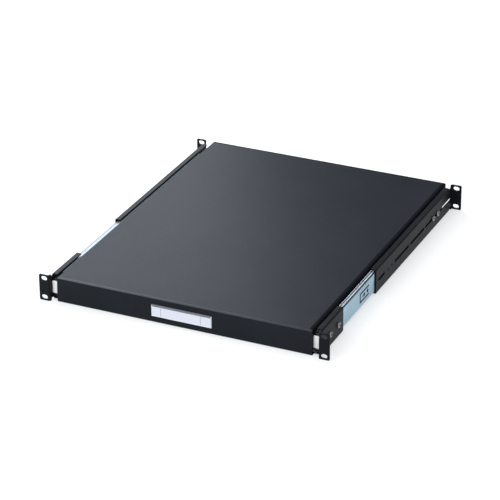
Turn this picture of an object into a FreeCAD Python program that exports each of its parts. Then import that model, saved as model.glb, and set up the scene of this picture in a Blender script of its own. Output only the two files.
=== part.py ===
import FreeCAD, Part
import math
import os
from types import SimpleNamespace

import Sketcher
from FreeCAD import Placement, Rotation, Vector

# A 1U sliding rack shelf: a folded tray on two three-member ball slides, which brackets hold to a
# 19-inch rack. The origin is the centre of the front hole pattern, on the front face of the front ears.
# X points right, Y to the rear and Z up. The pieces on the right are drawn, those on the left mirror them.

# Driving dimensions, in millimetres and degrees
DIMENSIONS = {
    # Rack interface
    "rack_width": 482.6,
    "ear_reach": 15.9,
    "ear_hole_margin": 8.75,
    "unit_hole_span": 31.75,
    "ear_height": 43.6,
    "ear_spacing": 560.0,
    "ear_slot_length": 10.5,
    "ear_slot_width": 7.0,
    "ear_corner_radius": 2.2,
    "ear_root": 4.0,
    # Brackets
    "bracket_sheet": 2.0,
    "bracket_bend": 0.6,
    "bracket_lip": 9.2,
    "bracket_neck_height": 36.0,
    "bracket_corner_radius": 2.5,
    "bracket_hole_diameter": 4.5,
    "front_bracket_length": 91.0,
    "front_lip_gap": 13.0,
    "rear_bracket_length": 337.0,
    "rear_lip_gap": 13.0,
    # Slots and holes of the rear bracket, measured forward from the rear ears
    "slot_width": 5.0,
    "slot_length": 62.0,
    "slot_pitch": 67.0,
    "slot_last_end": 63.0,
    "rear_slot_end": 5.0,
    "rear_slot_length": 52.0,
    "short_slot_end": 301.0,
    "short_slot_length": 27.0,
    "index_hole_place": 271.0,
    "index_hole_spacing": 16.0,
    # Ball slides
    "slide_axis_height": -0.5,
    "slide_front_gap": 12.0,
    "slide_rear_gap": 44.0,
    "slide_height": 34.0,
    "slide_fit": 1.9,
    "slide_sheet": 1.0,
    "slide_bend": 0.8,
    "slide_corner_bend": 1.6,
    "ball_diameter": 2.4,
    "ball_clearance": 0.15,
    "shoulder_fold": 0.25,
    "shoulder_run": 4.1,
    "stagger_angle": 80.0,
    "hook_angle": 15.0,
    "hook_ridge_angle": 33.0,
    "corner_ridge_angle": 42.0,
    "rim_angle": 25.0,
    "hook_clearance": 0.4,
    "stage_travel": 249.0,
    # Stops of the slides
    "stop_inset": 1.0,
    "stop_length": 2.5,
    "stop_height": 0.6,
    "stop_width": 6.0,
    "stop_clearance": 0.5,
    "end_tab_width": 14.0,
    "end_tab_gap": 0.5,
    "end_tab_clearance": 2.0,
    # Lanced tongue in the web of the outer member, measured from the slide's front end
    "lance_place": 150.0,
    "lance_length": 36.0,
    "lance_width": 16.0,
    "lance_cut": 1.8,
    "lance_pip_place": 9.0,
    "lance_pip_diameter": 2.4,
    "lance_hole_place": 16.5,
    "lance_hole_spacing": 13.8,
    "lance_hole_diameter": 5.4,
    # Ball cages
    "cage_sheet": 0.5,
    "cage_clearance": 0.2,
    "cage_pocket_clearance": 0.1,
    "cage_reach": 0.95,
    "cage_end_margin": 12.0,
    "balls_per_row": 4,
    # Tray
    "tray_top": 20.5,
    "tray_setback": 3.0,
    "tray_overhang": 5.5,
    "tray_sheet": 1.2,
    "tray_bend": 3.0,
    "tray_side_depth": 32.5,
    "tray_front_height": 42.2,
    "tray_front_return": 12.0,
    # Fasteners
    "screw_thread_clearance": 0.05,
    "bracket_screw_diameter": 4.0,
    "bracket_screw_head": 9.5,
    "bracket_screw_head_height": 3.0,
    "front_screw_place": 40.0,
    "front_screw_spacing": 32.0,
    "rear_screw_place": 89.0,
    "rear_screw_spacing": 21.0,
    "tray_screw_diameter": 3.5,
    "tray_screw_head": 7.0,
    "tray_screw_head_height": 2.1,
    "tray_screw_margin": 52.0,
    "tray_screw_tip": 1.0,
    "tray_hole_diameter": 3.8,
    "nut_width": 7.0,
    "nut_height": 2.8,
    # Closing bumpers on the front ends of the inner members
    "bumper_thickness": 3.2,
    "bumper_gap": 0.3,
    "bumper_height": 20.0,
    "bumper_side_clearance": 0.4,
    "bumper_tray_clearance": 0.2,
    "bumper_tongue_length": 14.0,
    "bumper_tongue_thickness": 4.0,
    # Label holder and card
    "label_height_place": -0.4,
    "label_width": 99.5,
    "label_height": 19.2,
    "label_depth": 2.2,
    "label_rim": 1.2,
    "label_recess": 0.8,
    "card_thickness": 0.4,
    "card_clearance": 0.3,
}

doc = FreeCAD.newDocument("sliding_rack_shelf")
sheet = doc.addObject("Spreadsheet::Sheet", "Sizes")
for row, (name, value) in enumerate(DIMENSIONS.items(), start=1):
    sheet.set("A%d" % row, name)
    sheet.set("B%d" % row, str(value))
    sheet.setAlias("B%d" % row, name)
doc.recompute()


# Sizes that remember their formula
class Size:
    """A number together with the sheet formula that gives it."""

    def __init__(self, value, formula):
        self.value = value
        self.formula = formula

    def __add__(self, other):
        other = size(other)
        return Size(self.value + other.value, "(%s + %s)" % (self.formula, other.formula))

    def __sub__(self, other):
        other = size(other)
        return Size(self.value - other.value, "(%s - %s)" % (self.formula, other.formula))

    def __mul__(self, other):
        other = size(other)
        return Size(self.value * other.value, "%s * %s" % (self.formula, other.formula))

    def __truediv__(self, other):
        other = size(other)
        return Size(self.value / other.value, "%s / %s" % (self.formula, other.formula))

    def __neg__(self):
        return size(0) - self

    def __radd__(self, other):
        return size(other) + self

    def __rsub__(self, other):
        return size(other) - self

    __rmul__ = __mul__


def size(number):
    return number if isinstance(number, Size) else Size(float(number), repr(float(number)))


def cosine(angle):
    return Size(math.cos(math.radians(angle.value)), "cos(%s)" % angle.formula)


def sine(angle):
    return Size(math.sin(math.radians(angle.value)), "sin(%s)" % angle.formula)


d = SimpleNamespace(**{name: Size(float(value), "Sizes." + name) for name, value in DIMENSIONS.items()})


# Outlines, made of corner points (u, v) and arcs
class Arc:
    """A round stretch of an outline about a centre, from one angle to another."""

    def __init__(self, u, v, radius, start, end):
        self.u = size(u)
        self.v = size(v)
        self.radius = size(radius)
        self.start = size(start)
        self.end = size(end)

    def point(self, angle):
        return self.u + self.radius * cosine(angle), self.v + self.radius * sine(angle)


class Circle:
    """A full round outline."""

    def __init__(self, u, v, diameter):
        self.u = size(u)
        self.v = size(v)
        self.radius = size(diameter) / 2


def first_point(item):
    return item.point(item.start) if isinstance(item, Arc) else item


def last_point(item):
    return item.point(item.end) if isinstance(item, Arc) else item


def mirrored(path):
    """The same stretches, mirrored from top to bottom."""
    return [Arc(i.u, -i.v, i.radius, -i.start, -i.end) if isinstance(i, Arc) else (i[0], -i[1]) for i in path]


def backwards(path):
    """The same stretches, followed from the other end."""
    return [Arc(i.u, i.v, i.radius, i.end, i.start) if isinstance(i, Arc) else i for i in reversed(path)]


def channel(outside, inside):
    """A bent strip, closed from the outside and inside faces of its upper half, free edge first."""
    return outside + backwards(mirrored(outside)) + mirrored(inside) + backwards(inside)


def box(left, right, bottom, top):
    return [(left, bottom), (right, bottom), (right, top), (left, top)]


def polygon(u, v, width, sides):
    """A regular polygon with flats, given by the circle that the flats touch."""
    radius = width / 2 / cosine(size(180 / sides))
    corners = [size(360 / sides * (number + 0.5)) for number in range(sides)]
    return [(u + radius * cosine(corner), v + radius * sine(corner)) for corner in corners]


def octagon(u, v, width):
    """Eight flats that stand for a small round shape where it is repeated and hidden."""
    return polygon(u, v, width, 8)


def slot(left, right, middle, width):
    radius = width / 2
    return [Arc(right - radius, middle, radius, -90, 90), Arc(left + radius, middle, radius, 90, 270)]


# Sketches and features
START, END, CENTRE = range(1, 4)
SAME_POINT = 1e-6


def pin(sketch, geometry, point, axis, place):
    """Hold one coordinate of a sketch point at a size."""
    index = sketch.addConstraint(Sketcher.Constraint("Distance" + axis, geometry, point, place.value))
    sketch.setExpression("Constraints[%d]" % index, place.formula)


def pin_radius(sketch, geometry, radius):
    index = sketch.addConstraint(Sketcher.Constraint("Radius", geometry, radius.value))
    sketch.setExpression("Constraints[%d]" % index, radius.formula)


def join(sketch, one, other):
    sketch.addConstraint(Sketcher.Constraint("Coincident", one[0], one[1], other[0], other[1]))


def flat(point):
    return Vector(size(point[0]).value, size(point[1]).value, 0)


def draw_circle(sketch, shape):
    round_curve = Part.Circle(flat((shape.u, shape.v)), Vector(0, 0, 1), shape.radius.value)
    geometry = sketch.addGeometry(round_curve, False)
    pin(sketch, geometry, CENTRE, "X", shape.u)
    pin(sketch, geometry, CENTRE, "Y", shape.v)
    pin_radius(sketch, geometry, shape.radius)


def draw_arc(sketch, arc):
    """Add an arc with its centre held, and give its two ends in the order of the outline."""
    round_curve = Part.Circle(flat((arc.u, arc.v)), Vector(0, 0, 1), arc.radius.value)
    low, high = sorted((math.radians(arc.start.value), math.radians(arc.end.value)))
    geometry = sketch.addGeometry(Part.ArcOfCircle(round_curve, low, high), False)
    pin(sketch, geometry, CENTRE, "X", arc.u)
    pin(sketch, geometry, CENTRE, "Y", arc.v)
    ends = (geometry, START), (geometry, END)
    return ends if arc.start.value < arc.end.value else ends[::-1]


def pin_arc_end(sketch, arc, end, angle):
    """Hold an arc's end by the coordinate that changes fastest along the arc there."""
    u, v = arc.point(angle)
    steep = abs(sine(angle).value) > abs(cosine(angle).value)
    pin(sketch, end[0], end[1], "X" if steep else "Y", u if steep else v)


def draw_outline(sketch, path):
    """Draw a closed outline, with straight lines between its corner points and arcs."""
    count = len(path)
    arc_ends = [draw_arc(sketch, item) if isinstance(item, Arc) else None for item in path]
    lines = []
    for index, item in enumerate(path):
        start = flat(last_point(item))
        end = flat(first_point(path[(index + 1) % count]))
        touching = start.distanceToPoint(end) < SAME_POINT
        lines.append(None if touching else sketch.addGeometry(Part.LineSegment(start, end), False))
    for index, item in enumerate(path):
        line_in = lines[index - 1]
        line_out = lines[index]
        if not isinstance(item, Arc):
            pin(sketch, line_out, START, "X", size(item[0]))
            pin(sketch, line_out, START, "Y", size(item[1]))
            join(sketch, (line_in, END), (line_out, START))
            continue
        begin, finish = arc_ends[index]
        if line_in is None:
            join(sketch, arc_ends[index - 1][1], begin)
        else:
            pin_radius(sketch, begin[0], item.radius)
            pin_arc_end(sketch, item, begin, item.start)
            join(sketch, (line_in, END), begin)
        pin_arc_end(sketch, item, finish, item.end)
        if line_out is not None:
            join(sketch, (line_out, START), finish)


def new_body(label):
    body = doc.addObject("PartDesign::Body", label)
    body.Label = label
    return body


def draw(body, plane, place, shapes, shift=(0, 0)):
    """Sketch closed shapes on one of the body's planes, moved along its normal to a place."""
    sketch = body.newObject("Sketcher::SketchObject", body.Name + "_sketch")
    role = plane + "_Plane"
    sketch.AttachmentSupport = [(next(f for f in body.Origin.OriginFeatures if f.Role == role), "")]
    sketch.MapMode = "FlatFace"
    normal_place = -size(place) if plane == "XZ" else size(place)
    sketch.setExpression("AttachmentOffset.Base.x", size(shift[0]).formula)
    sketch.setExpression("AttachmentOffset.Base.y", size(shift[1]).formula)
    sketch.setExpression("AttachmentOffset.Base.z", normal_place.formula)
    for shape in shapes:
        if isinstance(shape, Circle):
            draw_circle(sketch, shape)
        else:
            draw_outline(sketch, shape)
    return sketch


def pad(body, plane, place, shapes, length, along=1, shift=(0, 0)):
    """Raise shapes into a solid, towards the positive axis or, with along -1, the negative one."""
    sketch = draw(body, plane, place, shapes, shift)
    feature = body.newObject("PartDesign::Pad", body.Name + "_pad")
    feature.Profile = sketch
    feature.setExpression("Length", size(length).formula)
    feature.Reversed = (along < 0) != (plane == "XZ")
    doc.recompute()
    return feature


def pocket(body, plane, place, shapes, length=None, along=1, shift=(0, 0)):
    """Cut shapes out of the body, right through unless a length is given."""
    volume = body.Shape.Volume
    sketch = draw(body, plane, place, shapes, shift)
    feature = body.newObject("PartDesign::Pocket", body.Name + "_cut")
    feature.Profile = sketch
    feature.Reversed = (along > 0) != (plane == "XZ")
    if length is None:
        feature.Type = "ThroughAll"
    else:
        feature.setExpression("Length", size(length).formula)
    doc.recompute()
    if not body.Shape.Volume < volume:
        raise RuntimeError("a cut in %s takes nothing away" % body.Label)
    return feature


def repeat(body, length, count):
    """Repeat all of the body in a row along Y."""
    row = body.newObject("PartDesign::LinearPattern", body.Name + "_row")
    row.TransformMode = "Whole shape"
    row.Direction = (next(f for f in body.Origin.OriginFeatures if f.Role == "Y_Axis"), [""])
    row.setExpression("Length", size(length).formula)
    row.setExpression("Occurrences", size(count).formula)
    body.Tip = row
    doc.recompute()
    return row


def dress_edges(body, kind, property_name, amount, chosen):
    """Round or cut back the edges that a test chooses."""
    base = body.Tip
    names = ["Edge%d" % n for n, edge in enumerate(base.Shape.Edges, start=1) if chosen(edge)]
    feature = body.newObject("PartDesign::" + kind, body.Name + "_" + kind.lower())
    feature.Base = (base, names)
    feature.setExpression(property_name, amount.formula)
    doc.recompute()
    return feature


def lies_at(edge, height):
    """Whether all of a straight edge is at one height."""
    return all(abs(vertex.Z - height.value) < SAME_POINT for vertex in edge.Vertexes)


# Places that several pieces share
ear_edge = d.rack_width / 2
web_outside = ear_edge - d.ear_reach
web_inside = web_outside - d.bracket_sheet
bracket_half = d.slide_height / 2 + d.slide_fit + d.bracket_sheet
neck_half = d.bracket_neck_height / 2
slide_length = d.ear_spacing - d.slide_front_gap - d.slide_rear_gap

# Slide section: u runs from the outer member's back towards the tray, v up from the slide's middle
web_gap = d.cage_sheet + d.cage_clearance * 2
groove = d.ball_diameter / 2 + d.ball_clearance
groove_back = groove + d.slide_sheet
middle_back = d.slide_sheet + web_gap
middle_front = middle_back + d.slide_sheet
fold_u = middle_front + d.shoulder_fold
fold_reach = groove_back + d.shoulder_fold
outer_ball_u = fold_u + d.shoulder_run
outer_ball_v = d.slide_height / 2 - groove_back
fold_v = outer_ball_v - fold_reach
ball_step = groove + groove_back
inner_ball_u = outer_ball_u + ball_step * cosine(d.stagger_angle)
inner_ball_v = outer_ball_v - ball_step * sine(d.stagger_angle)
inner_back = inner_ball_u + groove_back + d.hook_clearance
slide_thickness = inner_back + d.slide_sheet
bend_back = d.slide_bend + d.slide_sheet
tray_side = web_inside - slide_thickness
inner_flange = inner_ball_v - groove

# Places along the shelf
stop_room = d.stop_inset + d.stop_length + d.stop_clearance
cage_start = d.stage_travel / 2 + stop_room
cage_length = slide_length - d.stage_travel - stop_room * 2
ball_row = cage_length - d.cage_end_margin * 2
ball_steps = d.balls_per_row - 1
ball_places = [
    cage_start + d.cage_end_margin + ball_row * number / ball_steps
    for number in range(int(d.balls_per_row.value))
]
rear_screws = d.ear_spacing - d.rear_screw_place
front_screw_places = [d.front_screw_place, d.front_screw_place + d.front_screw_spacing]
rear_screw_places = [rear_screws, rear_screws + d.rear_screw_spacing]
bracket_screw_places = front_screw_places + rear_screw_places
slide_rear = d.slide_front_gap + slide_length
tray_screw_places = [d.slide_front_gap + d.tray_screw_margin, slide_rear - d.tray_screw_margin]


def place_on_slide(body):
    """Lay a slide piece beside the right-hand bracket, its back against the bracket's web."""
    body.Placement = Placement(Vector(0, 0, 0), Rotation(Vector(0, 1, 0), 180))
    body.setExpression("Placement.Base.x", web_inside.formula)
    body.setExpression("Placement.Base.y", d.slide_front_gap.formula)
    body.setExpression("Placement.Base.z", d.slide_axis_height.formula)
    doc.recompute()


# Slide members, roll-formed from zinc-plated strip
def slide_outer(label):
    body = new_body(label)
    hook_end = 90 + d.hook_ridge_angle
    hook_back = Arc(outer_ball_u, outer_ball_v, groove_back, d.hook_angle, hook_end)
    hook_face = Arc(outer_ball_u, outer_ball_v, groove, d.hook_angle, hook_end)
    corner = d.slide_corner_bend + d.slide_sheet
    corner_v = d.slide_height / 2 - corner
    corner_start = 90 - d.corner_ridge_angle
    corner_back = Arc(corner, corner_v, corner, corner_start, 180)
    corner_face = Arc(corner, corner_v, d.slide_corner_bend, corner_start, 180)
    section = channel([hook_back, corner_back], [hook_face, corner_face])
    pad(body, "XZ", 0, [section], slide_length)

    tab_half = d.end_tab_width / 2
    tab_face = slide_length + d.end_tab_gap
    tab_back = tab_face + d.slide_sheet
    tab_edge = slide_thickness - d.end_tab_clearance
    tab = [
        (size(0), slide_length),
        (size(0), tab_back),
        (tab_edge, tab_back),
        (tab_edge, tab_face),
        (d.slide_sheet, tab_face),
        (d.slide_sheet, slide_length),
    ]
    pad(body, "XY", -tab_half, [tab], d.end_tab_width)

    stop = box(d.stop_inset, d.stop_inset + d.stop_length, -d.stop_width / 2, d.stop_width / 2)
    pad(body, "YZ", d.slide_sheet, [stop], d.stop_height)

    lance_end = d.lance_place + d.lance_length
    lance_half = d.lance_width / 2
    cut_half = lance_half - d.lance_cut
    cut_front = d.lance_place + d.lance_cut
    tongue = [
        (lance_end, lance_half),
        (d.lance_place, lance_half),
        (d.lance_place, -lance_half),
        (lance_end, -lance_half),
        (lance_end, -cut_half),
        (cut_front, -cut_half),
        (cut_front, cut_half),
        (lance_end, cut_half),
    ]
    holes = [
        Circle(d.lance_place + d.lance_hole_place, 0, d.lance_hole_diameter),
        Circle(d.lance_place + d.lance_hole_place + d.lance_hole_spacing, 0, d.lance_hole_diameter),
        octagon(d.lance_place + d.lance_pip_place, 0, d.lance_pip_diameter),
    ]
    screws = [place - d.slide_front_gap for place in bracket_screw_places]
    threads = [octagon(place, 0, d.bracket_screw_diameter) for place in screws]
    pocket(body, "YZ", 0, [tongue] + holes + threads)
    place_on_slide(body)
    return body


def slide_middle(label):
    body = new_body(label)
    turn_angle = 360 - d.stagger_angle
    hook_start = 180 - d.stagger_angle
    outside = [
        Arc(inner_ball_u, inner_ball_v, groove_back, d.hook_angle, hook_start),
        Arc(outer_ball_u, outer_ball_v, groove, turn_angle, 270),
        Arc(fold_u, fold_v, d.shoulder_fold + d.slide_sheet, 90, 180),
    ]
    inside = [
        Arc(inner_ball_u, inner_ball_v, groove, d.hook_angle, hook_start),
        Arc(outer_ball_u, outer_ball_v, groove_back, turn_angle, 270),
        Arc(fold_u, fold_v, d.shoulder_fold, 90, 180),
    ]
    pad(body, "XZ", 0, [channel(outside, inside)], slide_length)

    stop_half = d.stop_width / 2
    front_stop = box(d.stop_inset, d.stop_inset + d.stop_length, -stop_half, stop_half)
    pad(body, "YZ", middle_front, [front_stop], d.stop_height)
    rear_end = slide_length - d.stop_inset
    rear_stop = box(rear_end - d.stop_length, rear_end, -stop_half, stop_half)
    pad(body, "YZ", middle_back, [rear_stop], d.stop_height, along=-1)
    place_on_slide(body)
    return body


def slide_inner(label):
    body = new_body(label)
    rim = d.rim_angle + 180
    corner_u = inner_back - d.slide_bend
    corner_v = inner_flange - bend_back
    outside = [
        Arc(inner_ball_u, inner_ball_v, groove, rim, 270),
        Arc(corner_u, corner_v, bend_back, 90, 0),
    ]
    inside = [
        Arc(inner_ball_u, inner_ball_v, groove_back, rim, 270),
        Arc(corner_u, corner_v, d.slide_bend, 90, 0),
    ]
    pad(body, "XZ", 0, [channel(outside, inside)], slide_length)

    tab_half = d.end_tab_width / 2
    tab = box(middle_front + d.cage_clearance, inner_back, -tab_half, tab_half)
    pad(body, "XZ", slide_length - d.stop_inset - d.slide_sheet, [tab], d.slide_sheet)

    holes = [octagon(place - d.slide_front_gap, 0, d.tray_hole_diameter) for place in tray_screw_places]
    pocket(body, "YZ", 0, holes)
    place_on_slide(body)
    return body


# Ball cages and balls
def ball_cage(label, back, ball_u, ball_v):
    """A bent strip with a flange through each ball row, notched for each ball."""
    body = new_body(label)
    half_sheet = d.cage_sheet / 2
    edge = ball_u + d.cage_reach
    outside = [(edge, ball_v + half_sheet), (back, ball_v + half_sheet)]
    inside = [(edge, ball_v - half_sheet), (back + d.cage_sheet, ball_v - half_sheet)]
    pad(body, "XZ", cage_start, [channel(outside, inside)], cage_length)
    half_seat = d.ball_diameter / 2 + d.cage_pocket_clearance
    seats = [box(ball_u - half_seat, ball_u + half_seat, y - half_seat, y + half_seat) for y in ball_places]
    for side in (1, -1):
        pocket(body, "XY", 0, seats, along=side)
    place_on_slide(body)
    return body


def balls(label, ball_u, ball_v):
    """Two rows of balls, each a cube with its edges cut back so that all corners lie on the ball."""
    body = new_body(label)
    edge = d.ball_diameter / math.sqrt(5 + 2 * math.sqrt(2))
    cut_back = edge / math.sqrt(2)
    half = edge / 2 + cut_back
    first = ball_places[0]
    faces = [box(ball_u - half, ball_u + half, v - half, v + half) for v in (ball_v, -ball_v)]
    pad(body, "XZ", first - half, faces, half * 2)
    dress_edges(body, "Chamfer", "Size", cut_back, lambda edge: True)
    repeat(body, ball_places[-1] - first, d.balls_per_row)
    place_on_slide(body)
    return body


# Brackets, folded from steel sheet, with a rack ear at one end
def bracket_channel(body, start, length):
    bend_outside = d.bracket_bend + d.bracket_sheet
    corner_u = web_outside - bend_outside
    corner_v = bracket_half - bend_outside
    lip_edge = web_outside - d.bracket_lip
    outside = [(lip_edge, bracket_half), Arc(corner_u, corner_v, bend_outside, 90, 0)]
    inside = [(lip_edge, bracket_half - d.bracket_sheet), Arc(corner_u, corner_v, d.bracket_bend, 90, 0)]
    pad(body, "XZ", start, [channel(outside, inside)], length, shift=(0, d.slide_axis_height))


def corner_cut(u, v, radius, side_u, side_v):
    """The waste outside a rounded corner, which points along side_u and side_v."""
    sideways = 0 if side_u > 0 else 180
    sweep = Arc(u - radius * side_u, v - radius * side_v, radius, sideways, sideways + 90 * side_u * side_v)
    return [(u, v), sweep]


def bracket_ear(body, outside, inwards, lip_end):
    """The ear, bent out of a web as high as itself, and the lower neck that joins it to the channel."""
    inner_face = outside + d.bracket_sheet * inwards
    root_end = inner_face + d.ear_root * inwards
    bend_u = web_outside + d.bracket_bend
    bend_v = inner_face + d.bracket_bend * inwards
    tangent = 180 + 90 * inwards
    strip = [
        (ear_edge, outside),
        (ear_edge, inner_face),
        Arc(bend_u, bend_v, d.bracket_bend, tangent, 180),
        (web_outside, root_end),
        (web_inside, root_end),
        Arc(bend_u, bend_v, d.bracket_bend + d.bracket_sheet, 180, tangent),
    ]
    neck = box(web_inside, web_outside, root_end, lip_end)
    pad(body, "XY", d.slide_axis_height - neck_half, [neck], d.bracket_neck_height)
    ear_half = d.ear_height / 2
    pad(body, "XY", -ear_half, [strip], d.ear_height)
    hole_u = ear_edge - d.ear_hole_margin
    slot_half = d.ear_slot_length / 2
    rows = (d.unit_hole_span / 2, -d.unit_hole_span / 2)
    cuts = [slot(hole_u - slot_half, hole_u + slot_half, row_v, d.ear_slot_width) for row_v in rows]
    cuts += [corner_cut(ear_edge, ear_half * side, d.ear_corner_radius, 1, side) for side in (1, -1)]
    pocket(body, "XZ", outside, cuts, d.bracket_sheet, along=inwards)


def front_bracket(label):
    body = new_body(label)
    end = d.front_bracket_length
    bracket_channel(body, d.front_lip_gap, end - d.front_lip_gap)
    bracket_ear(body, size(0), 1, d.front_lip_gap)
    holes = [octagon(place, 0, d.bracket_hole_diameter) for place in front_screw_places]
    waste = corner_cut(end, -bracket_half, d.bracket_corner_radius, 1, -1)
    pocket(body, "YZ", 0, holes + [waste], shift=(0, d.slide_axis_height))
    return body


def rear_bracket(label):
    body = new_body(label)
    start = d.ear_spacing - d.rear_bracket_length
    bracket_channel(body, start, d.rear_bracket_length - d.rear_lip_gap)
    bracket_ear(body, d.ear_spacing + d.bracket_sheet, -1, d.ear_spacing - d.rear_lip_gap)
    slot_ends = [d.ear_spacing - d.slot_last_end - d.slot_pitch * place for place in range(3)]
    rear_end = d.ear_spacing - d.rear_slot_end
    short_end = d.ear_spacing - d.short_slot_end
    cuts = [slot(end - d.slot_length, end, size(0), d.slot_width) for end in slot_ends]
    cuts.append(slot(rear_end - d.rear_slot_length, rear_end, size(0), d.slot_width))
    cuts.append(slot(short_end - d.short_slot_length, short_end, size(0), d.slot_width))
    index_hole = d.ear_spacing - d.index_hole_place
    cuts.append(Circle(index_hole, 0, d.bracket_hole_diameter))
    cuts.append(Circle(index_hole - d.index_hole_spacing, 0, d.bracket_hole_diameter))
    cuts.append(corner_cut(start, -bracket_half, d.bracket_corner_radius, -1, -1))
    pocket(body, "YZ", 0, cuts, shift=(0, d.slide_axis_height))
    return body


# Fasteners
def pan_screws(label, seat, places, heads, head_height, diameter, grip):
    """Pan-head screws on both sides, heads outwards, seated on faces at plus and minus one place."""
    body = new_body(label)
    shanks = [octagon(place, 0, diameter - d.screw_thread_clearance * 2) for place in places]
    middle = (0, d.slide_axis_height)
    for side in (1, -1):
        pad(body, "YZ", seat * side, heads, head_height, along=side, shift=middle)
        pad(body, "YZ", seat * side, shanks, grip, along=-side, shift=middle)
    return body


def bracket_screws(label):
    heads = [Circle(place, 0, d.bracket_screw_head) for place in bracket_screw_places]
    grip = d.bracket_sheet + d.slide_sheet
    height = d.bracket_screw_head_height
    return pan_screws(label, web_outside, bracket_screw_places, heads, height, d.bracket_screw_diameter, grip)


def tray_screws(label):
    heads = [octagon(place, 0, d.tray_screw_head) for place in tray_screw_places]
    grip = d.slide_sheet + d.tray_sheet + d.nut_height + d.tray_screw_tip
    height = d.tray_screw_head_height
    seat = tray_side + d.slide_sheet
    return pan_screws(label, seat, tray_screw_places, heads, height, d.tray_screw_diameter, grip)


def tray_nuts(label):
    """Hexagon nuts seated on the inner faces of the tray's sides."""
    body = new_body(label)
    seat = tray_side - d.tray_sheet
    rims = [polygon(place, 0, d.nut_width, 6) for place in tray_screw_places]
    bores = [octagon(place, 0, d.tray_screw_diameter) for place in tray_screw_places]
    for side in (1, -1):
        pad(body, "YZ", seat * side, rims + bores, d.nut_height, along=-side, shift=(0, d.slide_axis_height))
    return body


# Tray, folded from one steel sheet with welded corners
def tray_pan(label):
    body = new_body(label)
    front = d.tray_setback
    rear = d.ear_spacing + d.tray_overhang
    side_bottom = d.tray_top - d.tray_side_depth
    front_bottom = d.tray_top - d.tray_front_height
    inner_bend = d.tray_bend - d.tray_sheet
    bend_y = front + d.tray_bend
    bend_z = front_bottom + d.tray_bend
    pad(body, "XY", d.tray_top, [box(-tray_side, tray_side, front, rear)], d.tray_side_depth, along=-1)

    front_panel = [
        (front, side_bottom),
        Arc(bend_y, bend_z, d.tray_bend, 180, 270),
        (front + d.tray_front_return, front_bottom),
        (front + d.tray_front_return, front_bottom + d.tray_sheet),
        Arc(bend_y, bend_z, inner_bend, 270, 180),
        (front + d.tray_sheet, side_bottom),
    ]
    pad(body, "YZ", -tray_side, [front_panel], tray_side * 2)

    dress_edges(body, "Fillet", "Radius", d.tray_bend, lambda edge: lies_at(edge, d.tray_top))
    cavity = box(
        d.tray_sheet - tray_side, tray_side - d.tray_sheet, front + d.tray_sheet, rear - d.tray_sheet
    )
    pocket(body, "XY", side_bottom, [cavity], d.tray_side_depth - d.tray_sheet)
    ceiling = d.tray_top - d.tray_sheet
    dress_edges(body, "Fillet", "Radius", inner_bend, lambda edge: lies_at(edge, ceiling))

    holes = [octagon(place, 0, d.tray_hole_diameter) for place in tray_screw_places]
    pocket(body, "YZ", -tray_side, holes, shift=(0, d.slide_axis_height))
    return body


# Closing bumpers, moulded nylon, plugged into the front ends of the inner slide members
def closing_bumper(label):
    body = new_body(label)
    rear = d.slide_front_gap - d.bumper_gap
    middle = (0, d.slide_axis_height)
    half = d.bumper_height / 2
    head_left = tray_side + d.bumper_tray_clearance
    head_right = web_inside - d.bumper_side_clearance
    head = box(head_left, head_right, -half, half)
    pad(body, "XZ", rear, [head], d.bumper_thickness, along=-1, shift=middle)
    tongue_half = inner_flange - bend_back
    tongue_left = tray_side + d.slide_sheet
    tongue = box(tongue_left, tongue_left + d.bumper_tongue_thickness, -tongue_half, tongue_half)
    pad(body, "XZ", rear, [tongue], d.bumper_tongue_length, shift=middle)
    return body


# Label holder, moulded in clear plastic, stuck to the front panel, and its card
def label_holder(label):
    body = new_body(label)
    half_width = d.label_width / 2
    half_height = d.label_height / 2
    middle = (0, d.label_height_place)
    plate = box(-half_width, half_width, -half_height, half_height)
    pad(body, "XZ", d.tray_setback, [plate], d.label_depth, along=-1, shift=middle)
    window_width = half_width - d.label_rim
    window_height = half_height - d.label_rim
    window = box(-window_width, window_width, -window_height, window_height)
    pocket(body, "XZ", d.tray_setback - d.label_depth, [window], d.label_recess, shift=middle)
    return body


def label_card(label):
    body = new_body(label)
    edge = d.label_rim + d.card_clearance
    half_width = d.label_width / 2 - edge
    half_height = d.label_height / 2 - edge
    card = box(-half_width, half_width, -half_height, half_height)
    seat = d.tray_setback - d.label_depth + d.label_recess
    pad(body, "XZ", seat, [card], d.card_thickness, along=-1, shift=(0, d.label_height_place))
    return body


# The shelf: pieces on the middle line or in groups, and the right-hand ones with their mirror images
middle_pieces = [
    tray_pan("tray_pan"),
    label_holder("label_holder"),
    label_card("label_card"),
    bracket_screws("bracket_screws"),
    tray_screws("tray_screws"),
    tray_nuts("tray_nuts"),
]
right_pieces = [
    front_bracket("front_bracket_right"),
    rear_bracket("rear_bracket_right"),
    slide_outer("slide_outer_right"),
    slide_middle("slide_middle_right"),
    slide_inner("slide_inner_right"),
    ball_cage("outer_ball_cage_right", d.slide_sheet + d.cage_clearance, outer_ball_u, outer_ball_v),
    ball_cage("inner_ball_cage_right", middle_front + d.cage_clearance, inner_ball_u, inner_ball_v),
    balls("outer_balls_right", outer_ball_u, outer_ball_v),
    balls("inner_balls_right", inner_ball_u, inner_ball_v),
    closing_bumper("closing_bumper_right"),
]

left_pieces = []
for piece in right_pieces:
    opposite = doc.addObject("Part::Mirroring", piece.Label.replace("_right", "_left"))
    opposite.Label = opposite.Name
    opposite.Source = piece
    opposite.Normal = Vector(1, 0, 0)
    left_pieces.append(opposite)
doc.recompute()

# Tests before writing: nothing failed to compute, and each piece is a sound solid
for item in doc.Objects:
    if "Invalid" in item.State or "Error" in item.State:
        raise RuntimeError("%s failed to compute: %s" % (item.Label, item.State))
pieces = middle_pieces + right_pieces + left_pieces
for piece in pieces:
    if piece.Shape.isNull() or not piece.Shape.isValid() or not piece.Shape.Solids:
        raise RuntimeError("%s is not a sound solid" % piece.Label)

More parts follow.
